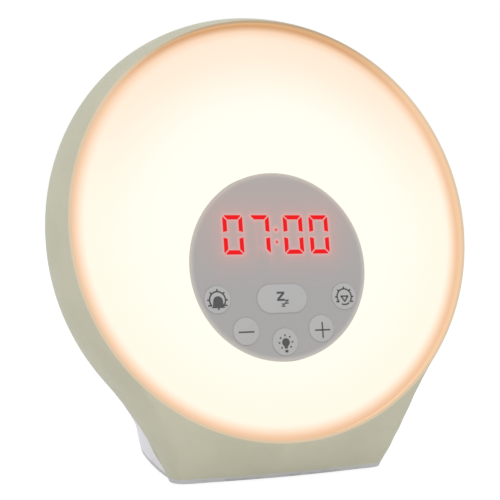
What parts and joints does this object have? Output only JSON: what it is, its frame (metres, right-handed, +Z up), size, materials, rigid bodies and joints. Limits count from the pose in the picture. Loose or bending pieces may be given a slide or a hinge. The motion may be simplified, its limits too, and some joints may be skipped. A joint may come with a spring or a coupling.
{
  "type": "sunrise alarm clock",
  "caption": "Round bedside wake-up light that leans back on a foot and heel, with an opal face, a small round clock display and six push keys.",
  "frame": {"origin": "middle of the footprint, on the table under the rubber feet", "axes": "+X to the right of the person who faces the clock, +Y away from that person, +Z up"},
  "size_m": [0.1748, 0.1154, 0.1803],
  "materials": {
    "front_plastic": "satin moulded",
    "rear_plastic": "satin moulded",
    "base_plastic": "satin moulded",
    "opal_plastic": "opal, satin",
    "tray_white": "bright white",
    "board_metal": "white coated",
    "diode_yellow": "phosphor coated",
    "lens_grey": "satin",
    "key_grey": "satin",
    "digit_red": "lit red",
    "segment_grey": "unlit",
    "module_black": "moulded",
    "mat_rubber": "silicone",
    "board_green": "circuit board",
    "carrier_white": "moulded",
    "foam_black": "foam",
    "component_black": "moulded",
    "socket_white": "moulded",
    "lead_grey": "sleeved",
    "speaker_steel": "pressed",
    "magnet_grey": "sintered",
    "paper_black": "paper",
    "inlet_black": "moulded",
    "screw_steel": "plated",
    "foot_rubber": "matt"
  },
  "bodies": {
    "clock": {"front_shell": "front_plastic", "rear_housing": "rear_plastic", "base_plate": "base_plastic", "diffuser": "opal_plastic", "light_tray": "tray_white", "light_board": "board_metal", "light_diodes": "diode_yellow", "display_lens": "lens_grey", "clock_digits": "digit_red", "unlit_segments": "segment_grey", "display_module": "module_black", "keypad_mat": "mat_rubber", "display_board": "board_green", "main_board": "board_green", "display_carrier": "carrier_white", "display_gasket": "foam_black", "speaker_gasket": "foam_black", "board_parts": "component_black", "board_sockets": "socket_white", "display_ribbon": "lead_grey", "light_lead": "lead_grey", "speaker_lead": "lead_grey", "speaker_frame": "speaker_steel", "speaker_magnet": "magnet_grey", "speaker_cone": "paper_black", "power_inlet": "inlet_black", "housing_screws": "screw_steel", "tray_screws": "screw_steel", "carrier_screws": "screw_steel", "display_screws": "screw_steel", "board_screws": "screw_steel", "base_screws": "screw_steel", "foot_front_left": "foot_rubber", "foot_front_right": "foot_rubber", "foot_rear_left": "foot_rubber", "foot_rear_right": "foot_rubber"},
    "key_alarm": {"key_alarm": "key_grey"},
    "key_minus": {"key_minus": "key_grey"},
    "key_light": {"key_light": "key_grey"},
    "key_plus": {"key_plus": "key_grey"},
    "key_sunset": {"key_sunset": "key_grey"},
    "key_snooze": {"key_snooze": "key_grey"}
  },
  "joints": [
    {"name": "key_alarm_press", "type": "slide", "parent": "clock", "child": "key_alarm", "axis": [0, 0.9833, -0.1822], "range_m": [0, 0.0008], "stiffness_N_per_m": 1500},
    {"name": "key_minus_press", "type": "slide", "parent": "clock", "child": "key_minus", "axis": [0, 0.9833, -0.1822], "range_m": [0, 0.0008], "stiffness_N_per_m": 1500},
    {"name": "key_light_press", "type": "slide", "parent": "clock", "child": "key_light", "axis": [0, 0.9833, -0.1822], "range_m": [0, 0.0008], "stiffness_N_per_m": 1500},
    {"name": "key_plus_press", "type": "slide", "parent": "clock", "child": "key_plus", "axis": [0, 0.9833, -0.1822], "range_m": [0, 0.0008], "stiffness_N_per_m": 1500},
    {"name": "key_sunset_press", "type": "slide", "parent": "clock", "child": "key_sunset", "axis": [0, 0.9833, -0.1822], "range_m": [0, 0.0008], "stiffness_N_per_m": 1500},
    {"name": "key_snooze_press", "type": "slide", "parent": "clock", "child": "key_snooze", "axis": [0, 0.9833, -0.1822], "range_m": [0, 0.0008], "stiffness_N_per_m": 1500}
  ]
}
